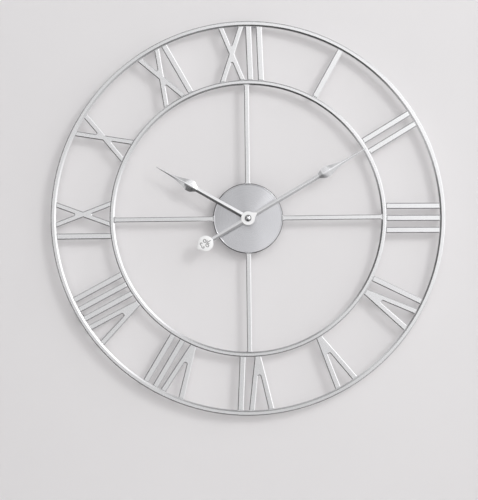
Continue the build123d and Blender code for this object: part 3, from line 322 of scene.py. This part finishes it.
def finish_nodes():
    """Every CAD node takes the material of its slot."""
    slots = {row["node"]: row["material_slot"] for row in frame["record"]["subparts"]}
    for name, node in NODES.items():
        material = OWN_FINISH.get(name) or FINISH[slots[name]]
        if not node.material_slots:
            node.data.materials.append(material)
        for slot in node.material_slots:
            slot.material = material


finish_nodes()


# ---------------------------------------------------------------- mesh building blocks
HUB = Vector((0, 0, 0))
SHARP = math.radians(32)


def make_piece(name, points, faces, material, body):
    """A mesh in metres as one object that rides on a body; edges sharper than SHARP stay crisp."""
    mesh = bpy.data.meshes.new(name)
    mesh.from_pydata(points, [], faces)
    mesh.polygons.foreach_set("use_smooth", [True] * len(faces))
    mesh.set_sharp_from_angle(angle=SHARP)
    mesh.materials.append(material)
    mesh.update()
    piece = bpy.data.objects.new(name, mesh)
    bpy.context.scene.collection.objects.link(piece)
    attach(piece, body)
    return piece


def dial_directions(dial_deg):
    """Unit vectors outwards along a dial angle, and across it to the clockwise side."""
    turn = math.radians(dial_deg)
    return Vector((math.sin(turn), 0, math.cos(turn))), Vector((math.cos(turn), 0, -math.sin(turn)))


def add_rings(points, faces, rings, closed=False):
    """Join equal rings of points into a skin, capped at both ends unless it closes on itself."""
    start, count, sides = len(points), len(rings), len(rings[0])
    for ring in rings:
        points.extend(ring)
    for index in range(count if closed else count - 1):
        here, there = start + index * sides, start + (index + 1) % count * sides
        for side in range(sides):
            after = (side + 1) % sides
            faces.append((here + side, here + after, there + after, there + side))
    if not closed:
        faces.append(tuple(range(start, start + sides))[::-1])
        last = start + (count - 1) * sides
        faces.append(tuple(range(last, last + sides)))


def add_turned(points, faces, centre, profile, sides):
    """Turn a closed (radius, y) profile about an axis along Y through centre."""
    rings = []
    for index in range(sides):
        outwards, _ = dial_directions(360 * index / sides)
        rings.append([centre + outwards * radius + Vector((0, y, 0)) for radius, y in profile])
    add_rings(points, faces, rings, closed=True)


def add_prism(points, faces, outline, back, front):
    """A flat (x, z) outline drawn out from one y to another."""
    add_rings(points, faces, [[Vector((x, back, z)) for x, z in outline],
                              [Vector((x, front, z)) for x, z in outline]])


def eased(stations, steps):
    """A table of (place, value), refilled with smooth steps between its rows and no overshoot."""
    slopes = []
    for index in range(len(stations)):
        (x0, y0), (x1, y1) = stations[max(index - 1, 0)], stations[min(index + 1, len(stations) - 1)]
        flat = 0 < index < len(stations) - 1 and (stations[index][1] - y0) * (y1 - stations[index][1]) <= 0
        slopes.append(0.0 if flat else (y1 - y0) / (x1 - x0))
    filled = []
    for index in range(len(stations) - 1):
        (x0, y0), (x1, y1) = stations[index], stations[index + 1]
        width = x1 - x0
        for step in range(steps):
            t = step / steps
            rise = (3 - 2 * t) * t * t
            start_pull, end_pull = t * (1 - t) ** 2, t * t * (1 - t)
            filled.append((x0 + t * width, y0 + (y1 - y0) * rise
                           + width * (start_pull * slopes[index] - end_pull * slopes[index + 1])))
    filled.append(stations[-1])
    return filled


# ---------------------------------------------------------------- hands
# The outlines of the hands and the medallion are the CAD model's, in millimetres.
HOUR_DIAL_ANGLE, MINUTE_DIAL_ANGLE = 300.0, 60.0
HOUR_HAND_BACK, MINUTE_HAND_BACK = 31.8, 37.0
HAND_EDGE = 0.9                   # thickness of the pressed sheet at its edge
HAND_RIDGE_SLOPE = 0.43           # rise of the ridge, per half width
HAND_RISE_MOST = 3.9
HAND_CREST = 0.07                 # rounding of the ridge, per half width
HAND_BOSS_RADIUS, HAND_BOSS_SHEET, HAND_BOSS_EDGE = 13.2, 2.0, 0.3
HOUR_BUSH_RADIUS, MINUTE_BUSH_RADIUS = 5.4, 5.0
# (distance from the hand axis, half width) along a blade and the tail
HOUR_BLADE = [(9.0, 5.0), (60.0, 4.9), (112.0, 4.6), (116.5, 6.6), (121.0, 9.6), (126.0, 11.3),
              (131.0, 11.4), (137.0, 9.6), (146.0, 6.6), (156.0, 4.2), (167.0, 2.6), (185.0, 1.7),
              (202.0, 0.7)]
MINUTE_BLADE = [(9.0, 4.7), (80.0, 4.5), (156.0, 4.2), (161.0, 6.2), (166.0, 8.8), (171.0, 10.3),
                (176.0, 10.5), (183.0, 8.9), (193.0, 6.0), (205.0, 3.8), (220.0, 2.7), (242.0, 1.7),
                (262.0, 0.7)]
TAIL = [(9.0, 4.7), (45.0, 4.1), (78.5, 3.9)]
TAIL_TAB_END = 103.0
MEDALLION_NECK, MEDALLION_CENTRE, MEDALLION_POINT = 83.1, 94.6, 109.0
MEDALLION_RADIUS, MEDALLION_END_RADIUS, MEDALLION_SHEET = 15.0, 4.4, 3.6
ACROSS_STEPS = 8                  # facets on each side of a hand's ridge
ROUND_SIDES = 72
STATION_STEPS = 5


def ridge_section(half):
    """The front of a hand's pressed section as (across, height): straight flanks, a rounded crest."""
    rise = min(HAND_RISE_MOST, half * HAND_RIDGE_SLOPE)
    low, high = HAND_CREST, math.hypot(1, HAND_CREST)
    rows = []
    for step in range(-ACROSS_STEPS, ACROSS_STEPS + 1):
        across = step / ACROSS_STEPS
        part = (high - math.hypot(across, HAND_CREST)) / (high - low)
        rows.append((across * half, HAND_EDGE + rise * part))
    return rows


def add_arm(points, faces, dial_deg, back, stations):
    outwards, across = dial_directions(dial_deg)
    rings = []
    for distance, half in eased(stations, STATION_STEPS):
        section = [(-half, 0.0)] + ridge_section(half) + [(half, 0.0)]
        rings.append([(outwards * distance + across * u + Vector((0, -back - height, 0))) * MM
                      for u, height in section])
    add_rings(points, faces, rings)


def hand(name, body, dial_deg, back, blade, bush_radius, tail=None):
    points, faces = [], []
    add_arm(points, faces, dial_deg, back, blade)
    if tail:
        add_arm(points, faces, dial_deg + 180, back, tail)
        outwards, across = dial_directions(dial_deg + 180)
        start, half = tail[-1]
        rings = []
        for distance in (start, TAIL_TAB_END):
            corners = [(-half, 0), (-half, HAND_EDGE), (half, HAND_EDGE), (half, 0)]
            rings.append([(outwards * distance + across * u + Vector((0, -back - height, 0))) * MM
                          for u, height in corners])
        add_rings(points, faces, rings)
    rim = HAND_BOSS_RADIUS - HAND_BOSS_EDGE
    front = back + HAND_BOSS_SHEET
    profile = [(bush_radius, -back), (HAND_BOSS_RADIUS, -back), (HAND_BOSS_RADIUS, -front + HAND_BOSS_EDGE),
               (rim, -front), (bush_radius, -front)]
    add_turned(points, faces, HUB, [(radius * MM, y * MM) for radius, y in profile], ROUND_SIDES)
    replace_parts(make_piece(name + "_pressing", points, faces, hand_silver, body), name)


hand("hour_hand", "hour_hand", HOUR_DIAL_ANGLE, HOUR_HAND_BACK, HOUR_BLADE, HOUR_BUSH_RADIUS)
hand("minute_hand", "minute_hand", MINUTE_DIAL_ANGLE, MINUTE_HAND_BACK, MINUTE_BLADE, MINUTE_BUSH_RADIUS,
     TAIL)


# ---------------------------------------------------------------- medallion
MEDALLION_EDGE = 1.1              # thickness at its rim
MEDALLION_CROWN_POWER = 2.2
RELIEF_DEPTH, RELIEF_HALF_WIDTH = 0.75, 0.65
RELIEF_STEPS, LEAF_STEPS = 60, 40
HALVINGS = 24                     # to find the leaf's rim in a direction
MEDALLION_RINGS, MEDALLION_SIDES = 44, 168


def leaf_reach(angle):
    """How far the leaf's rim stands from its centre in a direction, in millimetres."""
    direction = (math.cos(angle), math.sin(angle))
    ends = [MEDALLION_NECK - MEDALLION_CENTRE, MEDALLION_POINT - MEDALLION_CENTRE]
    low, high = 0.0, 2 * MEDALLION_RADIUS

    def inside(reach):
        u, v = direction[0] * reach, direction[1] * reach
        for end in ends:
            for step in range(LEAF_STEPS + 1):
                t = step / LEAF_STEPS
                radius = MEDALLION_RADIUS + (MEDALLION_END_RADIUS - MEDALLION_RADIUS) * t
                if math.hypot(u - end * t, v) <= radius:
                    return True
        return False

    for _ in range(HALVINGS):
        middle = (low + high) / 2
        if inside(middle):
            low = middle
        else:
            high = middle
    return low


def scroll(centre, start_radius, end_radius, start_deg, sweep_deg):
    """Points along a spiral stroke of the relief, as (along, across) in millimetres."""
    rows = []
    for step in range(RELIEF_STEPS + 1):
        t = step / RELIEF_STEPS
        angle = math.radians(start_deg + sweep_deg * t)
        radius = start_radius + (end_radius - start_radius) * t
        rows.append((centre[0] + radius * math.cos(angle), centre[1] + radius * math.sin(angle)))
    return rows


def relief_strokes():
    """A plain palmette: two large scrolls, two small ones and a stem."""
    strokes = []
    for side in (-1, 1):
        strokes += scroll((-1.5, 5.2 * side), 4.3, 1.4, 200 * side, 430 * side)
        strokes += scroll((7.4, 3.4 * side), 2.9, 1.5, -60 * side, 250 * side)
    strokes += [(-11.0 + 7.5 * step / RELIEF_STEPS, 0.0) for step in range(RELIEF_STEPS + 1)]
    return strokes


def make_medallion():
    outwards, across = dial_directions(MINUTE_DIAL_ANGLE + 180)
    middle = outwards * MEDALLION_CENTRE
    back = MINUTE_HAND_BACK + HAND_EDGE
    strokes = relief_strokes()
    crown = MEDALLION_SHEET - MEDALLION_EDGE
    points, groove_shade = [], []

    def place(u, v, height):
        return (middle + outwards * u + across * v + Vector((0, -back - height, 0))) * MM

    reaches = [leaf_reach(2 * math.pi * side / MEDALLION_SIDES) for side in range(MEDALLION_SIDES)]
    for ring in range(1, MEDALLION_RINGS + 1):
        part = math.sin(math.pi / 2 * ring / MEDALLION_RINGS)
        for side in range(MEDALLION_SIDES):
            angle = 2 * math.pi * side / MEDALLION_SIDES
            u, v = part * reaches[side] * math.cos(angle), part * reaches[side] * math.sin(angle)
            near = min(math.hypot(u - p, v - q) for p, q in strokes)
            groove = math.exp(-(near / RELIEF_HALF_WIDTH) ** 2)
            height = MEDALLION_EDGE + crown * math.sqrt(max(0.0, 1 - part ** MEDALLION_CROWN_POWER))
            points.append(place(u, v, height - RELIEF_DEPTH * groove))
            # how deep each point lies in a groove, kept for the painted shade there
            groove_shade.append(groove)
    faces = []
    for ring in range(MEDALLION_RINGS - 1):
        for side in range(MEDALLION_SIDES):
            after = (side + 1) % MEDALLION_SIDES
            here, there = ring * MEDALLION_SIDES, (ring + 1) * MEDALLION_SIDES
            faces.append((here + side, there + side, there + after, here + after))
    points.append(place(0, 0, MEDALLION_SHEET))
    groove_shade.append(0.0)
    top = len(points) - 1
    faces += [(top, side, (side + 1) % MEDALLION_SIDES) for side in range(MEDALLION_SIDES)]
    rim = (MEDALLION_RINGS - 1) * MEDALLION_SIDES
    base = len(points)
    for side in range(MEDALLION_SIDES):
        angle = 2 * math.pi * side / MEDALLION_SIDES
        points.append(place(reaches[side] * math.cos(angle), reaches[side] * math.sin(angle), 0.0))
        groove_shade.append(0.0)
    for side in range(MEDALLION_SIDES):
        after = (side + 1) % MEDALLION_SIDES
        faces.append((rim + side, base + side, base + after, rim + after))
    faces.append(tuple(range(base, base + MEDALLION_SIDES)))
    piece = make_piece("medallion_relief", points, faces, relief_white, "minute_hand")
    layer = piece.data.attributes.new("groove_shade", "FLOAT", "POINT")
    layer.data.foreach_set("value", groove_shade)
    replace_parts(piece, "tail_medallion")


make_medallion()


# ---------------------------------------------------------------- welds
BEAD_RADIUS = 1.25 * MM
BEAD_RIPPLE = 1.7 * MM            # length of one ripple along a bead
BEAD_SIDES = 8
NUMERAL_INSIDE, NUMERAL_OUTSIDE = 0.2665, 0.370
INNER_RADIUS, DISC_RADIUS = 0.257, 0.0675
SPOKE_HOURS, POST_HOURS = (12, 3, 6, 9), (4, 8)
NUMERAL_BACK, SPOKE_BACK, DISC_BACK, FRAME_BACK = -0.0214, -0.0215, -0.023, -0.016
NEAR = 0.2 * MM                   # how close a corner must be to a hoop to count as welded to it
LEAST_WELD = 2 * MM
BEAD_STEP = 0.45 * MM
BEAD_LOW, BEAD_END = 0.8, 0.55    # part of a bead's radius left between ripples, and at its ends
POST_SIDES = 60
STRAP_INSET, STRAP_STEPS = 0.4 * MM, 12


def add_bead(points, faces, route, closed=False):
    """A rippled weld bead along a route of points."""
    rings, run = [], 0.0
    for index, here in enumerate(route):
        before = route[index - 1] if index or closed else here
        after = route[(index + 1) % len(route)] if index < len(route) - 1 or closed else here
        forward = (after - before).normalized()
        run += (here - before).length
        side = forward.cross(Vector((0, 1, 0))).normalized()
        radius = BEAD_RADIUS * (BEAD_LOW + (1 - BEAD_LOW) * abs(math.cos(math.pi * run / BEAD_RIPPLE)))
        if not closed and index in (0, len(route) - 1):
            radius *= BEAD_END
        rings.append([here + (side * math.cos(a) + Vector((0, 1, 0)) * math.sin(a)) * radius
                      for a in (2 * math.pi * k / BEAD_SIDES for k in range(BEAD_SIDES))])
    add_rings(points, faces, rings, closed)


def foot_arcs(node, radius, depth):
    """Where a node's foot meets a hoop: the (first, last) dial angle of each stretch of edge there."""
    mesh = NODES[node].data
    turns = {}
    for vertex in mesh.vertices:
        x, y, z = vertex.co
        if abs(math.hypot(x, z) - radius) < NEAR and abs(y - depth) < NEAR:
            turns[vertex.index] = math.atan2(x, z)
    linked = {index: set() for index in turns}
    for edge in mesh.edges:
        a, b = edge.vertices
        if a in turns and b in turns:
            linked[a].add(b)
            linked[b].add(a)
    arcs, seen = [], set()
    for index in sorted(turns):
        if index in seen:
            continue
        group, queue = [], [index]
        while queue:
            vertex = queue.pop()
            if vertex not in seen:
                seen.add(vertex)
                group.append(vertex)
                queue += sorted(linked[vertex])
        first = turns[group[0]]
        angles = [first + math.remainder(turns[v] - first, 2 * math.pi) for v in group]
        if (max(angles) - min(angles)) * radius > LEAST_WELD:
            arcs.append((min(angles), max(angles)))
    return arcs


def arc_route(first, last, radius, y):
    steps = max(4, round((last - first) * radius / BEAD_STEP))
    turns = [first + (last - first) * step / steps for step in range(steps + 1)]
    return [Vector((radius * math.sin(t), y, radius * math.cos(t))) for t in turns]


def make_welds():
    points, faces = [], []
    feet = [(f"numeral_{hour:02d}", radius, NUMERAL_BACK) for hour in range(1, 13)
            for radius in (NUMERAL_INSIDE, NUMERAL_OUTSIDE)]
    feet += [(f"spoke_{hour:02d}", INNER_RADIUS, SPOKE_BACK) for hour in SPOKE_HOURS]
    for node, radius, depth in feet:
        for first, last in foot_arcs(node, radius, depth):
            add_bead(points, faces, arc_route(first, last, radius, depth))
    for hour in SPOKE_HOURS:
        for first, last in foot_arcs(f"spoke_{hour:02d}", DISC_RADIUS, SPOKE_BACK):
            add_bead(points, faces, arc_route(first, last, DISC_RADIUS, DISC_BACK))
            front = min(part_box(f"spoke_{hour:02d}")[0].y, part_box("centre_disc")[0].y) + BEAD_RADIUS / 2
            add_bead(points, faces, arc_route(first, last, DISC_RADIUS - BEAD_RADIUS, front))
    for hour in POST_HOURS:
        low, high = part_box(f"standoff_post_{hour:02d}")
        centre, radius = (low + high) / 2, (high.x - low.x) / 2
        ring = [Vector((centre.x + radius * math.sin(t), FRAME_BACK, centre.z + radius * math.cos(t)))
                for t in (2 * math.pi * k / POST_SIDES for k in range(POST_SIDES))]
        add_bead(points, faces, ring, closed=True)
    low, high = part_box("hanger_bracket")
    for end, inward in ((low.x, 1), (high.x, -1)):
        for z in (low.z, high.z):
            xs = [end + inward * (STRAP_INSET + BEAD_STEP * step) for step in range(STRAP_STEPS)]
            add_bead(points, faces, [Vector((x, FRAME_BACK, z)) for x in xs])
    make_piece("weld_beads", points, faces, silver, "frame")


make_welds()


# ---------------------------------------------------------------- moulded arrow round the setting knob
ARROW_RADIUS, ARROW_HALF_WIDTH, ARROW_HEAD = 8.4 * MM, 0.45 * MM, 1.5 * MM
ARROW_RISE = 0.35 * MM
ARROW_SPAN, ARROW_STEP = 62, 4    # degrees to each side of the top, and per facet


def make_knob_arrow():
    low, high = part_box("setting_knob")
    middle = (low + high) / 2
    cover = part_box("movement_rear_cover")[1].y
    turns = [math.radians(degrees) for degrees in range(-ARROW_SPAN, ARROW_SPAN + 1, ARROW_STEP)]

    def at(radius, turn):
        return middle.x + radius * math.sin(turn), middle.z + radius * math.cos(turn)

    outer = [at(ARROW_RADIUS + ARROW_HALF_WIDTH, turn) for turn in turns]
    inner = [at(ARROW_RADIUS - ARROW_HALF_WIDTH, turn) for turn in reversed(turns)]
    points, faces = [], []
    add_prism(points, faces, outer + inner, cover, cover + ARROW_RISE)
    for end, sense in ((turns[0], -1), (turns[-1], 1)):
        tip = end + sense * 2 * ARROW_HEAD / ARROW_RADIUS
        head = [at(ARROW_RADIUS + ARROW_HEAD, end), at(ARROW_RADIUS, tip),
                at(ARROW_RADIUS - ARROW_HEAD, end)]
        add_prism(points, faces, head, cover, cover + ARROW_RISE)
    make_piece("knob_arrow", points, faces, knob_grey, "frame")


make_knob_arrow()


# ---------------------------------------------------------------- camera
FACE_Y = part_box("outer_ring")[0].y
DISTANCE = 2.35                   # from the camera to the hoops' faces
VIEW_HEIGHT = 0.962               # how much of the hoops' plane is in view, from top to bottom
VIEW_X, VIEW_Z = -0.0181, -0.0606 # the middle of the view, from the hand axis
ROLL = math.radians(0.7)
SENSOR = 36.0                     # millimetres along the view's longer side, which is its height


def add_camera():
    data = bpy.data.cameras.new("camera")
    data.sensor_width = SENSOR
    data.lens = SENSOR * DISTANCE / VIEW_HEIGHT
    data.clip_start = 0.05
    camera = bpy.data.objects.new("camera", data)
    camera.location = (VIEW_X, FACE_Y - DISTANCE, VIEW_Z)
    camera.rotation_euler = (math.pi / 2, ROLL, 0)
    bpy.context.scene.collection.objects.link(camera)
    bpy.context.scene.camera = camera


add_camera()


# ---------------------------------------------------------------- stage and light
def plane(name, corners):
    mesh = bpy.data.meshes.new(name)
    mesh.from_pydata(corners, [], [(0, 1, 2, 3)])
    made = bpy.data.objects.new(name, mesh)
    bpy.context.scene.collection.objects.link(made)
    return made


PLASTER_CLOUD, PLASTER_GRAIN, PLASTER_RISE = 2.5, 700.0, 0.3 * MM


def plaster(name, tone, one_sided):
    """Matt pale paint; a one-sided wall can be looked through from behind."""
    material, tree, shader = new_material(name)
    cloud = noise(tree, PLASTER_CLOUD, 3.0)
    colour = ramp(tree, cloud, [(0.3, tone), (0.7, tuple(c * 1.02 for c in tone))])
    tree.links.new(colour, shader.inputs["Base Color"])
    shader.inputs["Roughness"].default_value = 0.9
    shader.inputs["Specular IOR Level"].default_value = 0.2
    bump(tree, shader, noise(tree, PLASTER_GRAIN, 3.0), 0.08, PLASTER_RISE)
    if one_sided:
        side = tree.nodes.new("ShaderNodeNewGeometry")
        clear = tree.nodes.new("ShaderNodeBsdfTransparent")
        mix = tree.nodes.new("ShaderNodeMixShader")
        tree.links.new(side.outputs["Backfacing"], mix.inputs["Fac"])
        tree.links.new(shader.outputs["BSDF"], mix.inputs[1])
        tree.links.new(clear.outputs["BSDF"], mix.inputs[2])
        tree.links.new(mix.outputs["Shader"], tree.nodes["Material Output"].inputs["Surface"])
    return material


WALL_HALF, FLOOR_HALF = 3.0, 6.0
FLOOR_Z = -1.1
WALL_Y = 0.3 * MM

wall = plane("wall", [(-WALL_HALF, WALL_Y, FLOOR_Z), (WALL_HALF, WALL_Y, FLOOR_Z),
                      (WALL_HALF, WALL_Y, WALL_HALF), (-WALL_HALF, WALL_Y, WALL_HALF)])
wall.data.materials.append(plaster("wall_paint", (0.80, 0.785, 0.79), True))
wall.visible_shadow = False
floor = plane("floor", [(-FLOOR_HALF, -FLOOR_HALF, FLOOR_Z), (FLOOR_HALF, -FLOOR_HALF, FLOOR_Z),
                        (FLOOR_HALF, FLOOR_HALF, FLOOR_Z), (-FLOOR_HALF, FLOOR_HALF, FLOOR_Z)])
floor.data.materials.append(plaster("floor_paint", (0.70, 0.69, 0.68), False))
floor.visible_glossy = False


def area_light(name, place, width, height, power):
    """A rectangle of light, in metres and watts, that looks at the hand axis."""
    data = bpy.data.lights.new(name, "AREA")
    data.shape = "RECTANGLE"
    data.size, data.size_y = width, height
    data.energy = power
    light = bpy.data.objects.new(name, data)
    light.location = place
    light.rotation_euler = (HUB - Vector(place)).to_track_quat("-Z", "Y").to_euler()
    bpy.context.scene.collection.objects.link(light)
    return light


area_light("key", (2.1, -2.66, 1.54), 0.9, 0.9, 24.0)
fill = area_light("fill", (0.9, -3.4, 0.9), 4.0, 3.0, 24.0)
fill.visible_glossy = False

BACKDROP_LEVEL = 0.75             # what the camera sees past the wall and the floor
STUDIO_GAIN = 1.56
STUDIO_LEAN = 0.5                 # how far "right" leans upwards in the studio
# (how far right, tone): dark on the left, the window on the right
STUDIO_ACROSS = [(-0.75, 0.06), (-0.5, 0.1), (-0.28, 0.42), (-0.16, 0.55), (-0.05, 0.42), (0.02, 0.42),
                 (0.09, 0.55), (0.18, 0.74), (0.34, 0.66), (0.5, 0.54), (0.68, 0.62), (0.9, 0.86)]
# (how far up, tone): floor and ceiling are darker
STUDIO_UPWARD = [(-0.95, 0.2), (-0.7, 0.3), (-0.45, 0.75), (-0.12, 0.9), (0.05, 1.0), (0.65, 1.0),
                 (0.85, 0.35), (0.97, 0.25)]
# a small reflector on the left: its direction, and (nearness to that direction, tone)
STUDIO_PANEL_TO = (-0.70, -0.63, -0.34)
STUDIO_PANEL = [(0.95, 0.0), (0.985, 0.4)]


def add_world():
    """A soft studio whose reflections run from dark on the left to a window on the right."""
    world = bpy.data.worlds.new("studio")
    world.use_nodes = True
    tree = world.node_tree
    background = tree.nodes["Background"]
    background.inputs["Color"].default_value = (1, 1, 1.01, 1)
    where = tree.nodes.new("ShaderNodeTexCoord").outputs["Generated"]

    def tone(direction, stops):
        level = vector_math(tree, "DOT_PRODUCT", where, direction)
        return place_on(tree, level, -1.0, 1.0, [(at, grey(shade)) for at, shade in stops])

    across = tone((1, 0, STUDIO_LEAN), STUDIO_ACROSS)
    field = vector_math(tree, "MULTIPLY", across, tone((0, 0, 1), STUDIO_UPWARD))
    field = vector_math(tree, "ADD", field, tone(STUDIO_PANEL_TO, STUDIO_PANEL))
    level = vector_math(tree, "DOT_PRODUCT", field, (STUDIO_GAIN, 0, 0))
    path = tree.nodes.new("ShaderNodeLightPath")
    choose = tree.nodes.new("ShaderNodeMix")
    choose.inputs["B"].default_value = BACKDROP_LEVEL
    tree.links.new(path.outputs["Is Camera Ray"], choose.inputs["Factor"])
    tree.links.new(level, choose.inputs["A"])
    tree.links.new(choose.outputs["Result"], background.inputs["Strength"])
    bpy.context.scene.world = world
    bpy.context.scene.view_settings.view_transform = "Standard"


add_world()
